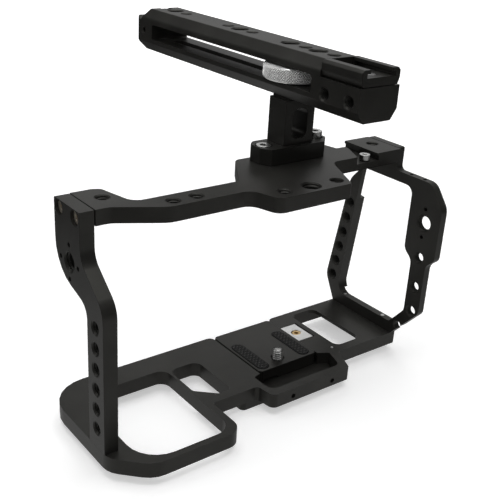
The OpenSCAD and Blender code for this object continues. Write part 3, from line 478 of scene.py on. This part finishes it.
topHoles = {"small": ((-109.5, 7.6), (-82.8, -11.8), (-69.7, -11.8), (-28.1, -27.0), (6.7, -27.0),
                      (71.7, 12.4)),
            "large": ((-10.7, -27.0),)}
topMouth = topHigh[2] - sink
topDepth = topHigh[2] - topLow[2] - sink
sleevePiece("top_plate_threads",
            [hole(x, y, topMouth, up, topDepth, quarter) for x, y in topHoles["small"]]
            + [hole(x, y, topMouth, up, topDepth, threeEighths) for x, y in topHoles["large"]], "cage")

frameHoles = {
    "left": ((-27.4, 70.0), (-27.3, 50.8), (-27.3, 34.4)),
    "large": ((-27.4, 92.0),),
    "post": {"first": 30.8, "spacing": 10.8, "count": 6, "lean": 13 / 79.5, "back": 43.9, "start": 8,
             "thicker": 2.6},
}
post = frameHoles["post"]
postHoles = [(post["back"] - post["lean"] * (i * post["spacing"] + post["start"]),
              post["first"] + i * post["spacing"]) for i in range(post["count"])]


# a hole through the frame's sheet, or through the thicker back post
def frameHole(y, z, face, size):
    return hole(face - sink, y, z, right, face - frameLow[0] - 2 * sink, size)


frameFace = frameHigh[0] - frameHoles["post"]["thicker"]
sleevePiece("frame_threads",
            [frameHole(y, z, frameFace, quarter) for y, z in frameHoles["left"]]
            + [frameHole(y, z, frameHigh[0], quarter) for y, z in postHoles]
            + [frameHole(y, z, frameFace, threeEighths) for y, z in frameHoles["large"]], "cage")

gripHoles = {
    "middle": 10.0,
    "small": (-12.9, 9.0, 54.7, 77.4, 121.2, 144.0),
    "large": (-1.0, 21.4, 66.2, 133.5),
    "side": ((-39.4, 175.0), (-21.9, 175.0)),
    "nose": 8,          # thread depth of the side holes
    "solid": 9.0,       # depth of the blind holes
    "roof": 8.8,        # thickness over the slot
    "slot": (-12.0, 139.8),
}


def gripHole(y, size):
    inSlot = gripHoles["slot"][0] < y < gripHoles["slot"][1]
    depth = gripHoles["roof"] if inSlot else gripHoles["solid"]
    return hole(gripHoles["middle"], y, gripHigh[2] - sink, up, depth - 2 * sink, size)


sleevePiece("handle_threads",
            [gripHole(y, quarter) for y in gripHoles["small"]]
            + [gripHole(y, threeEighths) for y in gripHoles["large"]]
            + [hole(gripLow[0] + sink, y, z, outside, gripHoles["nose"], quarter)
               for y, z in gripHoles["side"]]
            + [hole(gripHigh[0] - sink, y, z, right, gripHoles["nose"], quarter)
               for y, z in gripHoles["side"]], "handle")

footHoles = {"small": (-12.7, 10.0), "large": (17.3, 10.0), "depth": 4.4}
sleevePiece("tripod_threads",
            [hole(*footHoles["small"], sink, down, footHoles["depth"], quarter),
             hole(*footHoles["large"], sink, down, footHoles["depth"], threeEighths)], "cage")
print("threads cut")


screwSpec = {
    "radius": 3.175,
    "pitch": 1.27,
    "depth": 0.62,
    "turns": 72,
    "rows": 100,
    "tip": 0.8,         # height of the cone at the tip
    "head": 6.0,
    "headTall": 2.0,
    "headEdge": 0.4,
    "neck": 0.6,        # plain length above the head, and the thread's run-out
    "past": 2.0,        # the thread runs on past the tip by this much
    "pole": 0.001,
}


# radius falls by the thread depth between crests; crests follow a helix of one pitch per turn
def cameraScrew():
    low, high = boxEnd("camera_screw", 0), boxEnd("camera_screw", 1)
    headTop = low[2] + screwSpec["headTall"]
    radius, head, pole = screwSpec["radius"], screwSpec["head"], screwSpec["pole"]
    edge, neck = screwSpec["headEdge"], screwSpec["neck"]
    along = np.linspace(headTop, high[2], screwSpec["rows"])
    angle = np.linspace(0, 2 * np.pi, screwSpec["turns"], endpoint=False)
    z, turn = np.meshgrid(along, angle, indexing="ij")
    wave = threadHeight(turn, z, screwSpec["pitch"], headTop + neck, high[2] + screwSpec["past"], neck)
    body = radius - screwSpec["depth"] * wave
    body = np.minimum(body, radius - np.clip(z - (high[2] - screwSpec["tip"]), 0, None))
    rings = [np.full(len(angle), r) for r in (pole, head - edge, head, head, radius)]
    heights = [np.full(len(angle), h) for h in (low[2], low[2], low[2] + edge, headTop, headTop)]
    radii = np.vstack(rings + [body, [np.full(len(angle), pole)]])
    zs = np.vstack(heights + [z, [np.full(len(angle), high[2])]])
    turnAll = np.broadcast_to(angle, radii.shape)
    points = np.stack([radii * np.cos(turnAll), radii * np.sin(turnAll), zs], 2).reshape(-1, 3)
    faces = gridFaces(len(radii), len(angle), False, True)
    plain = np.zeros((len(rings), len(angle)))
    # depth into the thread, which the finish darkens as painted shade
    grooves = np.vstack([plain, wave, plain[:1]])
    piece = placePiece("camera_screw_threaded", points * mm, faces, "threadSteel", "camera_screw",
                       ("camera_screw",), grooves=grooves)
    mendMesh(piece, poles=True)


cameraScrew()
print("camera screw threaded")


wheelSpec = {
    "teeth": 78,
    "perTooth": 8,
    "rows": 44,
    "depth": 0.62,
    "slope": 0.85,
    "edge": 0.5,        # height of the plain rims
    "rimEdge": 0.4,
    "fade": 0.4,        # over this height the knurl fades in
    "bore": 3.1,
    "hub": 3.0,
    "rings": (3.2, 2.6),
}


# two crossed sets of ridges make the diamond knurl; it fades out towards both rims
def thumbwheel():
    low, high = boxEnd("thumbwheel", 0), boxEnd("thumbwheel", 1)
    centre = (low[0] + high[0]) / 2, (low[1] + high[1]) / 2
    radius = (high[0] - low[0]) / 2
    tall = high[2] - low[2]
    turns = wheelSpec["teeth"] * wheelSpec["perTooth"]
    edge, bore = wheelSpec["edge"], wheelSpec["bore"]
    along = np.linspace(edge, tall - edge, wheelSpec["rows"])
    angle = np.linspace(0, 2 * np.pi, turns, endpoint=False)
    z, turn = np.meshgrid(along, angle, indexing="ij")
    teeth = wheelSpec["teeth"] * turn / (2 * np.pi)
    lean = z * wheelSpec["slope"] / (2 * np.pi * radius / wheelSpec["teeth"])
    crossed = np.minimum(ridge(teeth + lean), ridge(teeth - lean))
    fade = np.clip(np.minimum(z - edge, tall - edge - z) / wheelSpec["fade"], 0, 1)
    rim = radius - wheelSpec["depth"] * (1 - crossed * fade)
    face = [(bore, 0.0), (bore + wheelSpec["hub"], 0.0)]
    face += [(radius - step, 0.0) for step in wheelSpec["rings"]]
    face += [(radius - edge - wheelSpec["rimEdge"], 0.0), (radius - edge, edge)]
    lower = np.array(face)
    upper = np.array([(r, tall - h) for r, h in face[::-1]])
    rings = [np.tile(part[:, :1], (1, turns)) for part in (lower, upper)]
    zs = [np.tile(part[:, 1:], (1, turns)) for part in (lower, upper)]
    radii = np.vstack([rings[0], rim, rings[1]])
    heights = np.vstack([zs[0], z, zs[1]]) + low[2]
    turnAll = np.broadcast_to(angle, radii.shape)
    points = np.stack([centre[0] + radii * np.cos(turnAll),
                       centre[1] + radii * np.sin(turnAll), heights], 2)
    faces = gridFaces(len(radii), turns, True, True)
    plain = np.zeros((len(face), turns))
    # depth into the knurl, which the finish darkens as painted shade
    grooves = np.vstack([plain, (1 - crossed) * fade, plain])
    piece = placePiece("thumbwheel_knurled", points.reshape(-1, 3) * mm, faces, "wheelMetal", "thumbwheel",
                       ("thumbwheel",), smooth=False, grooves=grooves)
    mendMesh(piece)


thumbwheel()
print("thumbwheel knurled")


stripSpec = {
    "wide": 7.6,
    "pitch": 1.90,
    "rise": 0.42,
    "cell": 0.13,
    "around": 460,
    "border": 0.3,      # plain edge outside the pimples
    "fade": 0.3,
    "round": 0.3,       # radius of the rolled edge
    "merge": 0.01,
}


# height over a bar with round ends: a rolled edge, and pimples in crossed rows within the border
def rubberStrip(low, high):
    middleX, middleY = (low[0] + high[0]) / 2, (low[1] + high[1]) / 2
    radius = (high[0] - low[0]) / 2
    straight = (high[1] - low[1]) / 2 - radius      # half the length of a straight side
    # the outline runs along the right side, the far end, the left side and the near end
    around = stripSpec["around"]
    path = np.linspace(0, 1, around, endpoint=False) * (4 * straight + 2 * np.pi * radius)
    farEnd = 2 * straight
    leftSide = farEnd + np.pi * radius
    nearEnd = leftSide + 2 * straight
    stretch = [path < farEnd, path < leftSide, path < nearEnd]
    farTurn, nearTurn = (path - farEnd) / radius, (path - nearEnd) / radius
    normalX = np.select(stretch, [1, np.cos(farTurn), -1], -np.cos(nearTurn))
    normalY = np.select(stretch, [0, np.sin(farTurn), 0], -np.sin(nearTurn))
    spineY = np.select(stretch, [path - straight, straight, leftSide + straight - path], -straight)
    # rings from the middle line outwards, each of the outline's shape
    ring = np.linspace(0, 1, int(radius / stripSpec["cell"]) + 1)[:, None] * radius
    x = middleX + ring * normalX
    y = middleY + spineY + ring * normalY
    wave = np.sqrt(2) * np.pi / stripSpec["pitch"]
    pimple = (0.5 + 0.5 * np.cos(wave * (x + y))) * (0.5 + 0.5 * np.cos(wave * (x - y)))
    pimple *= np.clip((radius - ring - stripSpec["border"]) / stripSpec["fade"], 0, 1)
    roll = stripSpec["round"]
    fall = roll - np.sqrt(np.clip(roll ** 2 - np.clip(ring - (radius - roll), 0, roll) ** 2, 0, None))
    z = high[2] - stripSpec["rise"] * (1 - pimple) - fall
    top = np.stack([x, y, z], 2)
    bottom, base = top[-1:].copy(), top[:1].copy()
    bottom[..., 2] = base[..., 2] = low[2]
    points = np.concatenate([top, bottom, base]).reshape(-1, 3)
    # depth into the hollows between pimples, which the finish darkens as painted shade
    grooves = np.concatenate([1 - pimple, np.zeros((2, around))])
    return points, gridFaces(len(top) + 2, around, False, True), grooves.ravel()


def rubberStrips():
    low, high = boxEnd("rubber_strips", 0), boxEnd("rubber_strips", 1)
    wide = stripSpec["wide"]
    sides = ((low[0], low[0] + wide), (high[0] - wide, high[0]))
    points, faces, grooves = joined([rubberStrip((left, *low[1:]), (right, *high[1:]))
                                     for left, right in sides])
    piece = placePiece("rubber_strips_pimpled", points * mm, faces, "rubber", bodyOf["rubber_strips"],
                       ("rubber_strips",), grooves=grooves)
    mendMesh(piece, merge=stripSpec["merge"] * mm)


rubberStrips()
print("rubber strips laid")


stageSpec = {
    "floor": 0.80,
    "lift": (0.45, 1.1),     # extra white where the camera sees the floor, near and far
    "liftRange": (0.35, 1.6),    # metres
    "size": 6.0,
    "gap": 0.05 * mm,        # keeps the floor clear of the foot's underside
    "mirrorNear": 0.58,      # what polished pieces see of the floor beside the cage
    "mirrorFar": 0.035,      # and away from it
    "mirrorCentre": (0.05, -0.08, 0.0),
    "mirrorRange": (0.25, 0.52),
}


# matt for the light, lifted to white for the camera, and a pale patch fading out for reflections
def makeFloor():
    half = stageSpec["size"]
    mesh = bpy.data.meshes.new("floor")
    under = -stageSpec["gap"]
    mesh.from_pydata([(-half, -half, under), (half, -half, under), (half, half, under),
                      (-half, half, under)], [], [(0, 1, 2, 3)])
    floor = bpy.data.objects.new("floor", mesh)
    bpy.context.scene.collection.objects.link(floor)
    material = bpy.data.materials.new("paleFloor")
    material.use_nodes = True
    tree = material.node_tree
    tree.nodes.clear()
    out = tree.nodes.new("ShaderNodeOutputMaterial")
    matt = tree.nodes.new("ShaderNodeBsdfDiffuse")
    matt.inputs["Color"].default_value = (stageSpec["floor"],) * 3 + (1,)
    seen = tree.nodes.new("ShaderNodeEmission")
    mirrored = tree.nodes.new("ShaderNodeEmission")
    ray = tree.nodes.new("ShaderNodeLightPath")
    lift = tree.nodes.new("ShaderNodeMath")
    lift.operation = "MULTIPLY"
    tree.links.new(ray.outputs["Is Camera Ray"], lift.inputs[0])
    tree.links.new(lift.outputs[0], seen.inputs["Strength"])
    place = tree.nodes.new("ShaderNodeTexCoord")
    reach = tree.nodes.new("ShaderNodeVectorMath")
    reach.operation = "DISTANCE"
    reach.inputs[1].default_value = stageSpec["mirrorCentre"]
    tree.links.new(place.outputs["Object"], reach.inputs[0])
    white = spread(tree, reach.outputs["Value"], *stageSpec["lift"], *stageSpec["liftRange"])
    tree.links.new(white, lift.inputs[1])
    level = spread(tree, reach.outputs["Value"], stageSpec["mirrorNear"], stageSpec["mirrorFar"],
                   *stageSpec["mirrorRange"])
    tree.links.new(level, mirrored.inputs["Strength"])
    lit = tree.nodes.new("ShaderNodeAddShader")
    tree.links.new(matt.outputs[0], lit.inputs[0])
    tree.links.new(seen.outputs[0], lit.inputs[1])
    pick = tree.nodes.new("ShaderNodeMixShader")
    tree.links.new(ray.outputs["Is Glossy Ray"], pick.inputs[0])
    tree.links.new(lit.outputs[0], pick.inputs[1])
    tree.links.new(mirrored.outputs[0], pick.inputs[2])
    tree.links.new(pick.outputs[0], out.inputs["Surface"])
    mesh.materials.append(material)


lightSpec = {
    "horizon": 0.04,
    "zenith": 0.30,
    "zenithFrom": 0.9,       # height of the direction at which the room is brightest
    "target": (0, 0, 0.09),
    "lamps": (
        {"name": "overhead", "place": (0.05, 0.1, 1.1), "size": (1.1, 1.0), "watts": 9.0},
        {"name": "backRight", "place": (0.9, 1.1, 0.75), "size": (1.2, 0.7), "watts": 1.8},
        {"name": "backLeft", "place": (-1.2, 0.9, 0.8), "size": (0.9, 0.6), "watts": 3.0},
        {"name": "frontLeft", "place": (-0.8, -1.2, 1.0), "size": (0.8, 0.6), "watts": 3.1},
    ),
}


# white behind the object for the camera, and a dim room, brighter overhead, for everything else
def makeWorld():
    world = bpy.data.worlds.new("paleRoom")
    bpy.context.scene.world = world
    world.use_nodes = True
    tree = world.node_tree
    tree.nodes.clear()
    out = tree.nodes.new("ShaderNodeOutputWorld")
    white = tree.nodes.new("ShaderNodeBackground")
    white.inputs["Color"].default_value = (1, 1, 1, 1)
    white.inputs["Strength"].default_value = 1.0
    room = tree.nodes.new("ShaderNodeBackground")
    ray = tree.nodes.new("ShaderNodeLightPath")
    pick = tree.nodes.new("ShaderNodeMixShader")
    place = tree.nodes.new("ShaderNodeTexCoord")
    split = tree.nodes.new("ShaderNodeSeparateXYZ")
    tree.links.new(place.outputs["Generated"], split.inputs[0])
    level = spread(tree, split.outputs["Z"], lightSpec["horizon"], lightSpec["zenith"],
                   0.0, lightSpec["zenithFrom"])
    tree.links.new(level, room.inputs["Strength"])
    tree.links.new(ray.outputs["Is Camera Ray"], pick.inputs[0])
    tree.links.new(room.outputs[0], pick.inputs[1])
    tree.links.new(white.outputs[0], pick.inputs[2])
    tree.links.new(pick.outputs[0], out.inputs["Surface"])


def makeLamp(spec):
    data = bpy.data.lights.new(spec["name"], "AREA")
    data.shape = "RECTANGLE"
    data.size, data.size_y = spec["size"]
    data.energy = spec["watts"]
    lamp = bpy.data.objects.new(spec["name"], data)
    lamp.location = spec["place"]
    towards = Vector(lightSpec["target"]) - Vector(spec["place"])
    lamp.rotation_euler = towards.to_track_quat("-Z", "Y").to_euler()
    bpy.context.scene.collection.objects.link(lamp)


makeFloor()
makeWorld()
for lampSpec in lightSpec["lamps"]:
    makeLamp(lampSpec)
bpy.context.scene.view_settings.view_transform = "Standard"
print("stage lit")
